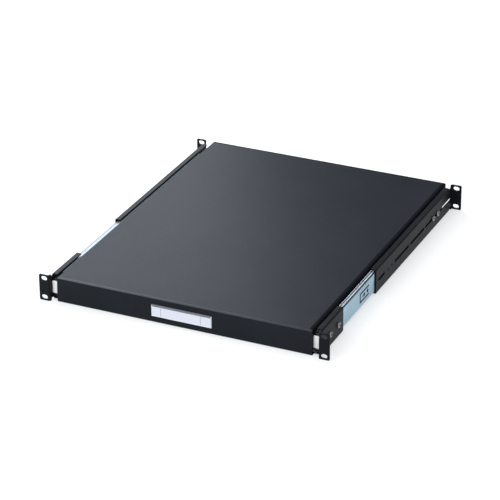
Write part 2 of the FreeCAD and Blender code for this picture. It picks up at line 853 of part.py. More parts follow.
os.makedirs("parts", exist_ok=True)
for piece in pieces:
    piece.Shape.exportStep(os.path.join("parts", piece.Label + ".step"))
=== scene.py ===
import math

import bmesh
import bpy
from mathutils import Matrix, Vector


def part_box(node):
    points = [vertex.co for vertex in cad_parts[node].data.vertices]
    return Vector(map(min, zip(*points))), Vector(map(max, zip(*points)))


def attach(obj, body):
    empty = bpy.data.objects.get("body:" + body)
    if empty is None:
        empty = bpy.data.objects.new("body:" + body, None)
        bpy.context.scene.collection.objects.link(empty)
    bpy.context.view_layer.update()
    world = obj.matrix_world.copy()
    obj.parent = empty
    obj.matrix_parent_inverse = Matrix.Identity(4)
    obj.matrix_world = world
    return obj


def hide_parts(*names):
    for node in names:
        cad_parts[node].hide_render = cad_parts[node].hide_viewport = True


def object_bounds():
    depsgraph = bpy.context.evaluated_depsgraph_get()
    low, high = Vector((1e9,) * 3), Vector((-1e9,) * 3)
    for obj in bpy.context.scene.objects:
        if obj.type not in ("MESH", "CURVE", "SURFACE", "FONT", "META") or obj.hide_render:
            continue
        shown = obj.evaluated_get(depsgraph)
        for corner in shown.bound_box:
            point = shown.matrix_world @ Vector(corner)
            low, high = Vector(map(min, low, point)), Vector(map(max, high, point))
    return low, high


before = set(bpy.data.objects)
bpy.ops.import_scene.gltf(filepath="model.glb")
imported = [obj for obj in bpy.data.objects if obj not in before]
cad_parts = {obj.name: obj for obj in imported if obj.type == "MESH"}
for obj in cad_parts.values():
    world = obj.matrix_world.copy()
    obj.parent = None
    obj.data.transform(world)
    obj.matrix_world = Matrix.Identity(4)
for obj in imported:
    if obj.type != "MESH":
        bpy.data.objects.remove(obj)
cad_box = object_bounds()


# Front and rear brackets: four channels folded from 2 mm sheet steel, with the rack ears bent out of them.
# They wear a fine-grained satin black powder coat, which lies thinner over the cut edges and the bends. The
# paler colour on sharp edges is also a painted highlight.
BRACKET_BLACK = (0.008, 0.009, 0.011, 1)
BRACKET_DARK_GREY = (0.012, 0.013, 0.016, 1)
BRACKET_EDGE = (0.030, 0.032, 0.037, 1)
BRACKETS = ["front_bracket_left", "front_bracket_right", "rear_bracket_left", "rear_bracket_right"]
MIDDLE_RANGE = (0.3, 0.7)
EDGE_RADIUS = 0.0006
EDGE_TURN = (0.75, 0.98)
EDGE_WEAR_AND_HIGHLIGHT = (0.8, 0.0)
ROUGHNESS_SPREAD = 0.06


def new_finish(name):
    """A material, its nodes, its shader and the object's own coordinates."""
    material = bpy.data.materials.new(name)
    material.use_nodes = True
    tree = material.node_tree
    place = tree.nodes.new("ShaderNodeTexCoord").outputs["Object"]
    return material, tree, tree.nodes["Principled BSDF"], place


def set_input(tree, socket, value):
    """Sets a node's input to a value or to the output of another node."""
    if isinstance(value, bpy.types.NodeSocket):
        tree.links.new(value, socket)
    else:
        socket.default_value = value


def connect(tree, node, **inputs):
    for name, value in inputs.items():
        set_input(tree, node.inputs[name.replace("_", " ")], value)


def add_node(tree, kind, **inputs):
    node = tree.nodes.new("ShaderNode" + kind)
    connect(tree, node, **inputs)
    return node


def math_node(tree, operation, *values, kind="Math"):
    """The result of a sum on values or on the outputs of other nodes."""
    node = tree.nodes.new("ShaderNode" + kind)
    node.operation = operation
    for socket, value in zip(node.inputs, values):
        set_input(tree, socket, value)
    return node.outputs["Value"]


def mottle(tree, place, scale, detail):
    """Blotches or grains, finer as the scale rises."""
    return add_node(tree, "TexNoise", Vector=place, Scale=scale, Detail=detail).outputs["Fac"]


def shade_between(tree, amount, dark, light):
    """A colour that goes from dark to light as the amount rises through the middle of its range."""
    ramp = add_node(tree, "ValToRGB", Fac=amount)
    low, high = ramp.color_ramp.elements
    low.position, high.position = MIDDLE_RANGE
    low.color = dark
    high.color = light
    return ramp.outputs["Color"]


def graded(tree, amount, across, results):
    """A number that goes from the first result to the second as the amount goes across a range."""
    ends = {"From_Min": across[0], "From_Max": across[1], "To_Min": results[0], "To_Max": results[1]}
    return add_node(tree, "MapRange", Value=amount, **ends).outputs["Result"]


def spread(tree, amount, low, high):
    """A number that goes from low to high as the amount rises through the middle of its range."""
    return graded(tree, amount, MIDDLE_RANGE, (low, high))


def cover(tree, amount, under, over):
    """A colour that goes from the one under to the one over as the amount rises from 0 to 1."""
    return add_node(tree, "MixRGB", Fac=amount, Color1=under, Color2=over).outputs["Color"]


def powder_coat(name, dark, light, edge, roughness, gloss):
    material, tree, shader, place = new_finish(name)
    cloud = mottle(tree, place, scale=11.0, detail=4.0)
    grain = mottle(tree, place, scale=850.0, detail=3.0)
    rounded = add_node(tree, "Bevel", Radius=EDGE_RADIUS).outputs["Normal"]
    flat = add_node(tree, "NewGeometry").outputs["Normal"]
    turn = math_node(tree, "DOT_PRODUCT", rounded, flat, kind="VectorMath")
    # Sharp edges turn paler: a thinner coat, and a painted edge highlight.
    edge_wear_and_highlight = graded(tree, turn, EDGE_TURN, EDGE_WEAR_AND_HIGHLIGHT)
    coat = shade_between(tree, cloud, dark, light)
    bump = add_node(tree, "Bump", Strength=0.5, Distance=0.00003, Height=grain, Normal=rounded)
    connect(
        tree,
        shader,
        Base_Color=cover(tree, edge_wear_and_highlight, coat, edge),
        Roughness=spread(tree, grain, roughness - ROUGHNESS_SPREAD, roughness + ROUGHNESS_SPREAD),
        Normal=bump.outputs["Normal"],
        Specular_IOR_Level=gloss,
    )
    return material


def paint(nodes, material):
    for node in nodes:
        for material_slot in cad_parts[node].material_slots:
            material_slot.material = material


bracket_coat = powder_coat(
    "bracket_coat", BRACKET_BLACK, BRACKET_DARK_GREY, BRACKET_EDGE, roughness=0.38, gloss=0.05
)
paint(BRACKETS, bracket_coat)


# Bracket screws: eight bright zinc pan-head machine screws with cross recesses, two through each bracket
# into the outer slide member. Heads are cold-formed, so they are domed and have a soft lower edge. The
# head's outline from the seat up, the recess and the tip are shares of the head's or the shank's size.
SCREW_BRIGHT = (0.30, 0.30, 0.31, 1)
SCREW_GREY = (0.18, 0.18, 0.19, 1)
# Painted shade colours for the cross recess.
RECESS_SHADE_DARK = (0.02, 0.02, 0.022, 1)
RECESS_SHADE_GREY = (0.05, 0.05, 0.055, 1)
BRACKET_SCREW_SEAT = 0.2254
BRACKET_SCREW_PLACES = [0.040, 0.072, 0.471, 0.492]
SCREW_LEVEL = -0.0005
SCREW_TURNS = [0.35, 1.10, 0.80, 0.15]
HEAD_OUTLINE = [(0.95, 0), (1, 0.10), (1, 0.38), (0.95, 0.64), (0.82, 0.86), (0.62, 1)]
HEAD_STEPS = 32
TIP_CHAMFER = 0.2
RECESS_ARM = 0.20
RECESS_REACH = 0.34
RECESS_DEPTH = 0.7
RECESS_TAPER = 0.55
MERGE_DISTANCE = 1e-7


def bright_metal(name, dark, light, smooth, rough, scale):
    material, tree, shader, place = new_finish(name)
    cloud = mottle(tree, place, scale=scale, detail=3.0)
    scratch = mottle(tree, place, scale=scale * 9, detail=4.0)
    bump = add_node(tree, "Bump", Strength=0.4, Distance=0.00001, Height=scratch)
    connect(
        tree,
        shader,
        Base_Color=shade_between(tree, cloud, dark, light),
        Metallic=1.0,
        Roughness=spread(tree, scratch, smooth, rough),
        Normal=bump.outputs["Normal"],
    )
    return material


def finished_mesh(name, shape):
    mesh = bpy.data.meshes.new(name)
    shape.to_mesh(mesh)
    shape.free()
    return mesh


def new_piece(name, shape, material, sharp=32.0):
    """An object made of a finished bmesh, smooth except along edges that turn more than the sharp angle."""
    for face in shape.faces:
        face.smooth = True
    mesh = finished_mesh(name, shape)
    mesh.set_sharp_from_angle(angle=math.radians(sharp))
    mesh.materials.append(material)
    piece = bpy.data.objects.new(name, mesh)
    bpy.context.scene.collection.objects.link(piece)
    return piece


def points_of(geometry):
    """The points among what an operator has made."""
    return [part for part in geometry if isinstance(part, bmesh.types.BMVert)]


def pan_screw(head, height, shank, grip):
    """A pan-head screw standing on its seat at the origin, with its head up and its shank down."""
    shape = bmesh.new()
    chamfer = shank * TIP_CHAMFER
    outline = [(0, -grip), (shank - chamfer, -grip), (shank, chamfer - grip), (shank, 0)]
    outline += [(head * out, height * rise) for out, rise in HEAD_OUTLINE]
    points = [shape.verts.new((radius, 0, level)) for radius, level in outline]
    lines = [shape.edges.new(pair) for pair in zip(points, points[1:])]
    bmesh.ops.spin(
        shape, geom=points + lines, axis=(0, 0, 1), angle=math.tau, steps=HEAD_STEPS, use_merge=True
    )
    bmesh.ops.remove_doubles(shape, verts=shape.verts, dist=MERGE_DISTANCE)
    top = Matrix.Translation((0, 0, height))
    square = bmesh.ops.create_grid(shape, x_segments=1, y_segments=1, size=head * RECESS_ARM, matrix=top)
    core = square["verts"][0].link_faces[0]
    for side in list(core.edges):
        middle = (side.verts[0].co + side.verts[1].co) / 2 - Vector((0, 0, height))
        drawn = bmesh.ops.extrude_edge_only(shape, edges=[side])["geom"]
        arm = middle.normalized() * head * RECESS_REACH
        bmesh.ops.translate(shape, vec=arm, verts=points_of(drawn))
    cross = [core] + [face for side in core.edges for face in side.link_faces if face is not core]
    outside = set(shape.faces)
    recess_floor = points_of(bmesh.ops.extrude_face_region(shape, geom=cross)["geom"])
    bmesh.ops.translate(shape, vec=(0, 0, -height * RECESS_DEPTH), verts=recess_floor)
    bmesh.ops.scale(shape, vec=(RECESS_TAPER, RECESS_TAPER, 1), verts=recess_floor)
    # The recess faces take the second, far darker material: painted shade in the cross.
    for face in set(shape.faces) - outside:
        face.material_index = 1
    bmesh.ops.delete(shape, geom=[face for face in cross if face.is_valid], context="FACES_ONLY")
    rim = [edge for edge in shape.edges if edge.is_boundary]
    bmesh.ops.triangle_fill(shape, use_beauty=True, edges=rim, normal=(0, 0, 1))
    bmesh.ops.recalc_face_normals(shape, faces=shape.faces)
    return finished_mesh("pan_screw", shape)


def set_out(mesh, places):
    """A bmesh with a copy of the mesh at each place."""
    group = bmesh.new()
    for place in places:
        group.from_mesh(mesh)
        copied = list(group.verts)[-len(mesh.vertices):]
        bmesh.ops.transform(group, matrix=place, verts=copied)
    bpy.data.meshes.remove(mesh)
    return group


def facing(side, seat, along, turn):
    """The place of a fastener whose upward axis points to the right for side 1 and to the left for -1."""
    spot = Matrix.Translation((seat * side, along, SCREW_LEVEL))
    return spot @ Matrix.Rotation(side * math.pi / 2, 4, "Y") @ Matrix.Rotation(turn, 4, "Z")


screw_steel = bright_metal("screw_steel", SCREW_GREY, SCREW_BRIGHT, smooth=0.16, rough=0.30, scale=600.0)
# A much darker copy of the screw metal: painted shade for the cross recesses.
shaded_recess_steel = bright_metal("shaded_recess_steel", RECESS_SHADE_DARK, RECESS_SHADE_GREY, smooth=0.40, rough=0.55, scale=600.0)
bracket_screw_places = [
    facing(side, BRACKET_SCREW_SEAT, along, turn)
    for side in (-1, 1)
    for along, turn in zip(BRACKET_SCREW_PLACES, SCREW_TURNS)
]
bracket_screw = pan_screw(head=0.00475, height=0.003, shank=0.00195, grip=0.003)
bracket_screw_shapes = set_out(bracket_screw, bracket_screw_places)
bracket_screws = new_piece("bracket_screws_pan", bracket_screw_shapes, screw_steel)
bracket_screws.data.materials.append(shaded_recess_steel)
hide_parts("bracket_screws")
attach(bracket_screws, "frame")


# Outer slide members: channels roll-formed from cold-rolled steel strip, zinc plated with a bluish clear
# passivate. Rolling leaves fine lines. The top flange has a greyer tone, with painted highlights on its
# ridges and painted shade in its furrows. Painted shade also darkens the web under the brackets, the faces
# in the cuts, the front ends, and the ring round the web's lanced tongue and its holes. Each pair of sizes
# below is a middle and a reach to both sides.
ZINC_BLUE = (0.26, 0.415, 0.505, 1)
ZINC_PALE = (0.345, 0.495, 0.59, 1)
ZINC_FLANGE = (0.28, 0.31, 0.335, 1)
# A painted highlight colour for the ridges, then painted shade for furrows, cuts, ends and covered web.
ZINC_RIDGE_HIGHLIGHT = (0.52, 0.58, 0.62, 1)
ZINC_PAINTED_SHADE = (0.035, 0.045, 0.055, 1)
ROLLING_STRETCH = (900, 14, 900)
FLANGE_LEVEL = 0.0148
FLANGE_ROUGHENING = 0.16
OPEN_STRETCH = (0.157, 0.0665)
WEB_FACE = 0.22335
WEB_LEVELS = (-0.0005, 0.012)
END_LENGTH = 0.030
LANCE_LENGTH = (0.1798, 0.0188)
LANCE_LEVELS = (-0.0005, 0.0087)
LANCE_TONGUE_LENGTH = (0.1835, 0.0187)
LANCE_TONGUE_LEVELS = (-0.0005, 0.0056)
LANCE_HOLES = [0.1785, 0.1923]
LANCE_HOLE_RADIUS = 0.0034
RIDGE_HIGHLIGHTS = [(0.2158, 0.0005), (0.2192, 0.0008)]
FURROW_SHADES = [(0.2168, 0.0004), (0.2219, 0.0007)]


def rolled_zinc(name, dark, light, smooth, rough):
    material, tree, shader, place = new_finish(name)
    cloud = mottle(tree, place, scale=38.0, detail=3.0)
    along = add_node(tree, "Mapping", Vector=place, Scale=ROLLING_STRETCH).outputs["Vector"]
    rolling = mottle(tree, along, scale=1.0, detail=4.0)
    rounded = add_node(tree, "Bevel", Radius=0.0003).outputs["Normal"]
    bump = add_node(tree, "Bump", Strength=0.35, Distance=0.00001, Height=rolling, Normal=rounded)
    connect(
        tree,
        shader,
        Base_Color=shade_between(tree, cloud, dark, light),
        Metallic=1.0,
        Roughness=spread(tree, rolling, smooth, rough),
        Normal=bump.outputs["Normal"],
    )
    return material


def open_finish(material):
    """The nodes and the shader of a finished material, and the object's own X, Y and Z."""
    tree = material.node_tree
    place = add_node(tree, "TexCoord").outputs["Object"]
    axes = add_node(tree, "SeparateXYZ", Vector=place).outputs
    return tree, tree.nodes["Principled BSDF"], axes


def fed_by(shader, name):
    """The output that already feeds one of the shader's inputs."""
    return shader.inputs[name].links[0].from_socket


def patch(tree, first, second, first_range, second_range):
    """1 where both numbers are within reach of the middles of their ranges, and 0 elsewhere."""
    within_first = math_node(tree, "COMPARE", first, *first_range)
    within_second = math_node(tree, "COMPARE", second, *second_range)
    return math_node(tree, "MULTIPLY", within_first, within_second)


zinc = rolled_zinc("rolled_zinc", ZINC_BLUE, ZINC_PALE, smooth=0.24, rough=0.40)
zinc_tree, zinc_shader, (zinc_across, zinc_along, zinc_level) = open_finish(zinc)
from_middle = math_node(zinc_tree, "ABSOLUTE", zinc_across)
on_flange = math_node(zinc_tree, "GREATER_THAN", zinc_level, FLANGE_LEVEL)
off_flange = math_node(zinc_tree, "SUBTRACT", 1.0, on_flange)
behind_face = math_node(zinc_tree, "LESS_THAN", from_middle, WEB_FACE)
on_web = math_node(zinc_tree, "COMPARE", zinc_level, *WEB_LEVELS)
in_cut = math_node(zinc_tree, "MULTIPLY", behind_face, on_web)
in_open = math_node(zinc_tree, "COMPARE", zinc_along, *OPEN_STRETCH)
covered = math_node(zinc_tree, "SUBTRACT", 1.0, in_open)
covered_web = math_node(zinc_tree, "MULTIPLY", off_flange, covered)
at_end = math_node(zinc_tree, "LESS_THAN", zinc_along, END_LENGTH)
lance = patch(zinc_tree, zinc_along, zinc_level, LANCE_LENGTH, LANCE_LEVELS)
lance_tongue = patch(zinc_tree, zinc_along, zinc_level, LANCE_TONGUE_LENGTH, LANCE_TONGUE_LEVELS)
round_tongue = math_node(zinc_tree, "SUBTRACT", lance, lance_tongue)
# Painted shade: faces inside the cuts, the web under the brackets, the front ends, the lance's outline and
# holes.
shade_marks = [in_cut, covered_web, at_end, round_tongue]
above_hole = math_node(zinc_tree, "SUBTRACT", zinc_level, WEB_LEVELS[0])
above_squared = math_node(zinc_tree, "MULTIPLY", above_hole, above_hole)
for hole in LANCE_HOLES:
    beside_hole = math_node(zinc_tree, "SUBTRACT", zinc_along, hole)
    away_squared = math_node(zinc_tree, "MULTIPLY_ADD", beside_hole, beside_hole, above_squared)
    shade_marks.append(math_node(zinc_tree, "LESS_THAN", away_squared, LANCE_HOLE_RADIUS**2))
painted_shade = shade_marks[0]
for mark in shade_marks[1:]:
    painted_shade = math_node(zinc_tree, "MAXIMUM", painted_shade, mark)
zinc_tone = cover(zinc_tree, on_flange, fed_by(zinc_shader, "Base Color"), ZINC_FLANGE)
# Painted highlights along the flange's ridges and painted shade in its furrows.
for lines, line_tone in ((RIDGE_HIGHLIGHTS, ZINC_RIDGE_HIGHLIGHT), (FURROW_SHADES, ZINC_PAINTED_SHADE)):
    for line in lines:
        within_line = math_node(zinc_tree, "COMPARE", from_middle, *line)
        on_line = math_node(zinc_tree, "MULTIPLY", within_line, on_flange)
        zinc_tone = cover(zinc_tree, on_line, zinc_tone, line_tone)
zinc_tone = cover(zinc_tree, painted_shade, zinc_tone, ZINC_PAINTED_SHADE)
zinc_grain = fed_by(zinc_shader, "Roughness")
rubbed = math_node(zinc_tree, "MULTIPLY_ADD", on_flange, FLANGE_ROUGHENING, zinc_grain)
connect(zinc_tree, zinc_shader, Base_Color=zinc_tone, Roughness=rubbed)
paint(["slide_outer_left", "slide_outer_right"], zinc)


# Middle and inner slide members: channels of the same strip inside the outer ones, which carry the tray.
# They run in grease. Their darker colour is partly that grease and partly painted shade for their enclosed
# place. They only show through holes or when the tray is pulled out.
GREASED_SHADED_DARK = (0.13, 0.145, 0.155, 1)
GREASED_SHADED_GREY = (0.22, 0.235, 0.25, 1)
GREASED_MEMBERS = ["slide_middle_left", "slide_middle_right", "slide_inner_left", "slide_inner_right"]

# A darker copy of the rolled zinc: grease, and painted shade.
greased_shaded_zinc = rolled_zinc("greased_shaded_zinc", GREASED_SHADED_DARK, GREASED_SHADED_GREY, smooth=0.30, rough=0.46)
paint(GREASED_MEMBERS, greased_shaded_zinc)


# Ball cages: two pressed strips of thin steel in each slide, which space the balls along the channels.
# They are plain cold-rolled strip with a film of grease, so darker and duller than the plated members.
CAGE_DARK = (0.30, 0.29, 0.27, 1)
CAGE_LIGHT = (0.46, 0.45, 0.42, 1)
CAGES = ["outer_ball_cage_left", "outer_ball_cage_right", "inner_ball_cage_left", "inner_ball_cage_right"]

cage_strip = bright_metal("cage_strip", CAGE_DARK, CAGE_LIGHT, smooth=0.30, rough=0.48, scale=120.0)
paint(CAGES, cage_strip)


# Balls: hardened steel bearing balls, ground and polished, a top and a bottom row in each cage.
# They are held between the raceways of two members and in the pockets of their cage.
BALL_BRIGHT = (0.80, 0.80, 0.81, 1)
BALL_GREY = (0.68, 0.68, 0.70, 1)
BALL_RADIUS = 0.0012
BALLS_PER_ROW = 4


def ball_rows(node, body):
    """Round balls in place of a node's faceted ones, set out between the ends of its box."""
    low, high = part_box(node)
    middle = (low.x + high.x) / 2
    first = low.y + BALL_RADIUS
    step = (high.y - low.y - BALL_RADIUS * 2) / (BALLS_PER_ROW - 1)
    shape = bmesh.new()
    for height in (low.z + BALL_RADIUS, high.z - BALL_RADIUS):
        for number in range(BALLS_PER_ROW):
            place = Matrix.Translation((middle, first + step * number, height))
            bmesh.ops.create_icosphere(shape, subdivisions=3, radius=BALL_RADIUS, matrix=place)
    piece = new_piece(node + "_round", shape, ball_steel)
    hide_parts(node)
    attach(piece, body)


ball_steel = bright_metal("ball_steel", BALL_GREY, BALL_BRIGHT, smooth=0.05, rough=0.14, scale=500.0)
for row in ("outer", "inner"):
    for side in ("left", "right"):
        ball_rows(row + "_balls_" + side, row + "_cage_" + side)


# Tray: one sheet of 1.2 mm steel folded down on four sides, with a deep front panel returned underneath.
# It has the brackets' powder coat in a slightly greyer black, with a painted highlight along the front bend,
# strongest at its left end, and painted shade with a rougher coat along the right and rear bends.
TRAY_BLACK = (0.010, 0.012, 0.016, 1)
TRAY_GREY = (0.013, 0.015, 0.020, 1)
TRAY_EDGE = (0.040, 0.044, 0.052, 1)
# A painted highlight colour for the front bend.
BEND_HIGHLIGHT_GREY = (0.095, 0.102, 0.115, 1)
BEND_BACK = 0.0062
BEND_BOTTOM = 0.0186
BEND_ENDS = (-0.2, 0.2)
BEND_HIGHLIGHT_FADE = (1.0, 0.3)
# Painted shade colour for the rear and right bends.
PAINTED_SHADE_BLACK = (0.006, 0.007, 0.010, 1)
DULL_REAR = 0.5602
DULL_SIDE = 0.2062
DULL_ROUGHENING = 0.5

tray_coat = powder_coat("tray_coat", TRAY_BLACK, TRAY_GREY, TRAY_EDGE, roughness=0.42, gloss=0.075)
tray_tree, tray_shader, (tray_across, tray_along, tray_level) = open_finish(tray_coat)
# A painted highlight along the front bend, strongest at the left end.
at_front = math_node(tray_tree, "LESS_THAN", tray_along, BEND_BACK)
at_top = math_node(tray_tree, "GREATER_THAN", tray_level, BEND_BOTTOM)
on_bend = math_node(tray_tree, "MULTIPLY", at_front, at_top)
bend_highlight_fade = graded(tray_tree, tray_across, BEND_ENDS, BEND_HIGHLIGHT_FADE)
bend_highlight = math_node(tray_tree, "MULTIPLY", on_bend, bend_highlight_fade)
# Painted shade, with a rougher coat, along the rear and right bends.
at_rear = math_node(tray_tree, "GREATER_THAN", tray_along, DULL_REAR)
at_side = math_node(tray_tree, "GREATER_THAN", tray_across, DULL_SIDE)
side_behind = math_node(tray_tree, "SUBTRACT", at_side, at_front)
shaded_and_dull = math_node(tray_tree, "MAXIMUM", at_rear, side_behind)
tray_tone = cover(tray_tree, bend_highlight, fed_by(tray_shader, "Base Color"), BEND_HIGHLIGHT_GREY)
tray_tone = cover(tray_tree, shaded_and_dull, tray_tone, PAINTED_SHADE_BLACK)
tray_grain = fed_by(tray_shader, "Roughness")
matt = math_node(tray_tree, "MULTIPLY_ADD", shaded_and_dull, DULL_ROUGHENING, tray_grain)
connect(tray_tree, tray_shader, Base_Color=tray_tone, Roughness=matt)
paint(["tray_pan"], tray_coat)


# Tray fasteners: four small pan-head screws through the inner slide members and the tray's sides, with a
# hexagon nut on each inside the tray. They are plated like the bracket screws.
TRAY_SCREW_SEAT = 0.212758
TRAY_NUT_SEAT = 0.210558
TRAY_SCREW_PLACES = [0.064, 0.464]
NUT_CHAMFER = 0.06
BORE_MARGIN = 1.2
SHARP_TURN = 1.0
TOLERANCE = 1e-6


def bevel_edges(shape, edges, size, segments):
    bmesh.ops.bevel(
        shape, geom=edges, offset=size, affect="EDGES", segments=segments, profile=0.5, material=-1
    )


def hexagon_nut(width, height, bore):
    """A nut lying on its seat at the origin, with its corners chamfered at both ends and a round bore."""
    shape = bmesh.new()
    lift = Matrix.Translation((0, 0, height / 2))
    corner = width / math.sqrt(3)
    ring = {"cap_ends": False, "depth": height, "matrix": lift}
    bmesh.ops.create_cone(shape, segments=6, radius1=corner, radius2=corner, **ring)
    bmesh.ops.create_cone(shape, segments=24, radius1=bore, radius2=bore, **ring)
    for level in (0, height):
        rims = [
            edge
            for edge in shape.edges
            if edge.is_boundary and abs(edge.verts[0].co.z - level) < TOLERANCE
        ]
        bmesh.ops.triangle_fill(shape, use_beauty=True, edges=rims, normal=(0, 0, 1))
    bmesh.ops.recalc_face_normals(shape, faces=shape.faces)
    outer_rims = [
        edge
        for edge in shape.edges
        if edge.calc_face_angle(0) > SHARP_TURN
        and abs(edge.verts[0].co.z - edge.verts[1].co.z) < TOLERANCE
        and edge.verts[0].co.xy.length > bore * BORE_MARGIN
    ]
    bevel_edges(shape, outer_rims, width * NUT_CHAMFER, segments=1)
    return finished_mesh("hexagon_nut", shape)


tray_screw_places = []
tray_nut_places = []
for side in (-1, 1):
    for along, turn in zip(TRAY_SCREW_PLACES, SCREW_TURNS):
        tray_screw_places.append(facing(side, TRAY_SCREW_SEAT, along, turn))
        tray_nut_places.append(facing(-side, -TRAY_NUT_SEAT, along, turn))
tray_screw = pan_screw(head=0.0035, height=0.0021, shank=0.0017, grip=0.006)
tray_screws = new_piece("tray_screws_pan", set_out(tray_screw, tray_screw_places), screw_steel)
tray_screws.data.materials.append(shaded_recess_steel)
tray_nut = hexagon_nut(width=0.007, height=0.0028, bore=0.00175)
tray_nuts = new_piece("tray_nuts_hexagon", set_out(tray_nut, tray_nut_places), screw_steel)
for piece, node in ((tray_screws, "tray_screws"), (tray_nuts, "tray_nuts")):
    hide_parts(node)
    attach(piece, "tray")


# Closing bumpers: natural white nylon blocks, each moulded with a plug that goes into the front end of the
# inner slide member. They show in the gaps beside the front panel, and their edges are rounded.
NYLON_WHITE = (0.92, 0.93, 0.94, 1)
NYLON_CREAM = (0.95, 0.95, 0.95, 1)
BUMPER_HEAD_DEPTH = 0.0032
BUMPER_ROUNDING = 0.0006
PLUG_SIDES = (0.212758, 0.216758)
PLUG_LEVELS = (-0.008356, 0.007356)
PLUG_ROOT = 0.0008
PLUG_ROUNDING = 0.0005


def moulded(name, dark, light, roughness, softness):
    material, tree, shader, place = new_finish(name)
    cloud = mottle(tree, place, scale=160.0, detail=3.0)
    grain = mottle(tree, place, scale=2200.0, detail=2.0)
    bump = add_node(tree, "Bump", Strength=0.4, Distance=0.00002, Height=grain)
    connect(
        tree,
        shader,
        Base_Color=shade_between(tree, cloud, dark, light),
        Roughness=spread(tree, grain, roughness - ROUGHNESS_SPREAD, roughness + ROUGHNESS_SPREAD),
        Normal=bump.outputs["Normal"],
        Subsurface_Weight=softness,
        Subsurface_Scale=0.001,
    )
    return material


def block(shape, low, high):
    """A box between two corners, added to the shape, and its faces."""
    size = [top - bottom for bottom, top in zip(low, high)]
    middle = [(top + bottom) / 2 for bottom, top in zip(low, high)]
    place = Matrix.Translation(middle) @ Matrix.Diagonal(size + [1])
    corners = bmesh.ops.create_cube(shape, size=1, matrix=place)["verts"]
    return {face for corner in corners for face in corner.link_faces}


def closing_bumper(side, name):
    """The right bumper, or its mirror image for side -1. The plug's root is sunk in the head."""
    low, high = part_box("closing_bumper_right")
    shape = bmesh.new()
    block(shape, low, (high.x, low.y + BUMPER_HEAD_DEPTH, high.z))
    bevel_edges(shape, shape.edges, BUMPER_ROUNDING, segments=3)
    root = low.y + BUMPER_HEAD_DEPTH - PLUG_ROOT
    plug = block(shape, (PLUG_SIDES[0], root, PLUG_LEVELS[0]), (PLUG_SIDES[1], high.y, PLUG_LEVELS[1]))
    plug_edges = [
        edge
        for edge in shape.edges
        if plug.issuperset(edge.link_faces) and edge.verts[0].co.y > root + TOLERANCE
    ]
    bevel_edges(shape, plug_edges, PLUG_ROUNDING, segments=2)
    if side < 0:
        bmesh.ops.scale(shape, vec=(-1, 1, 1), verts=shape.verts)
        bmesh.ops.recalc_face_normals(shape, faces=shape.faces)
    piece = new_piece(name + "_rounded", shape, nylon, sharp=50.0)
    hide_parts(name)
    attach(piece, "tray")


nylon = moulded("nylon", NYLON_WHITE, NYLON_CREAM, roughness=0.42, softness=0.15)
closing_bumper(-1, "closing_bumper_left")
closing_bumper(1, "closing_bumper_right")


# Label holder: a shallow moulding of clear plastic stuck to the middle of the front panel, open in a
# window for its card. The rims look milky by the card, and the thick top lip is coloured a dark grey.
HOLDER_PALE = (0.74, 0.77, 0.82, 1)
HOLDER_LIGHT = (0.84, 0.86, 0.90, 1)
LIP_DARK = (0.15, 0.16, 0.18, 1)
LIP_GREY = (0.22, 0.23, 0.26, 1)
HOLDER_RIM = 0.0012
HOLDER_RECESS = 0.0008
HOLDER_ROUNDING = 0.0003
LIP_DEPTH = 0.0028
LIP_THICKNESS = 0.00035

holder_plastic = moulded("holder_plastic", HOLDER_PALE, HOLDER_LIGHT, roughness=0.22, softness=0.1)
lip_plastic = moulded("lip_plastic", LIP_DARK, LIP_GREY, roughness=0.18, softness=0.0)
holder_low, holder_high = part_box("label_holder")
holder_shape = bmesh.new()
holder_faces = block(holder_shape, holder_low, holder_high)
front = min(holder_faces, key=lambda face: face.calc_center_median().y)
bmesh.ops.inset_region(holder_shape, faces=[front], thickness=HOLDER_RIM, use_even_offset=True)
window = bmesh.ops.extrude_face_region(holder_shape, geom=[front])["geom"]
bmesh.ops.translate(holder_shape, vec=(0, HOLDER_RECESS, 0), verts=points_of(window))
bmesh.ops.delete(holder_shape, geom=[front], context="FACES_ONLY")
outer_edges = [
    edge
    for edge in holder_shape.edges
    if edge.calc_face_angle(0) > SHARP_TURN
    and max(corner.co.y for corner in edge.verts) < holder_low.y + HOLDER_RECESS / 2
]
bevel_edges(holder_shape, outer_edges, HOLDER_ROUNDING, segments=2)
lip_bottom = holder_high.z - LIP_DEPTH
lip_low = (holder_low.x + HOLDER_RIM, holder_low.y, lip_bottom)
lip_high = (holder_high.x - HOLDER_RIM, holder_low.y + LIP_THICKNESS, holder_high.z - HOLDER_RIM / 2)
block(holder_shape, lip_low, lip_high)
for face in holder_shape.faces:
    if face.calc_center_median().z > lip_bottom:
        face.material_index = 1
label_holder = new_piece("label_holder_rounded", holder_shape, holder_plastic)
label_holder.data.materials.append(lip_plastic)
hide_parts("label_holder")
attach(label_holder, "tray")


# Label card: a blank strip of white card slipped into the holder, with two hairlines ruled across it.
# Card stock is slightly bluish from its brightener and has a fine fibre.
CARD_WHITE = (0.77, 0.80, 0.87, 1)
CARD_SHADE = (0.71, 0.74, 0.81, 1)
RULE_GREY = (0.42, 0.45, 0.52, 1)
RULE_PLACES = [-0.0346, 0.0317]
RULE_HALF_WIDTH = 0.0005

card_stock, card_tree, card_shader, card_place = new_finish("card_stock")
fibre = mottle(card_tree, card_place, scale=1400.0, detail=4.0)
card_tone = shade_between(card_tree, fibre, CARD_SHADE, CARD_WHITE)
across_card = add_node(card_tree, "SeparateXYZ", Vector=card_place).outputs["X"]
for rule in RULE_PLACES:
    on_rule = math_node(card_tree, "COMPARE", across_card, rule, RULE_HALF_WIDTH)
    card_tone = cover(card_tree, on_rule, card_tone, RULE_GREY)
card_bump = add_node(card_tree, "Bump", Strength=0.3, Distance=0.00002, Height=fibre)
connect(card_tree, card_shader, Base_Color=card_tone, Roughness=0.62, Normal=card_bump.outputs["Normal"])
paint(["label_card"], card_stock)


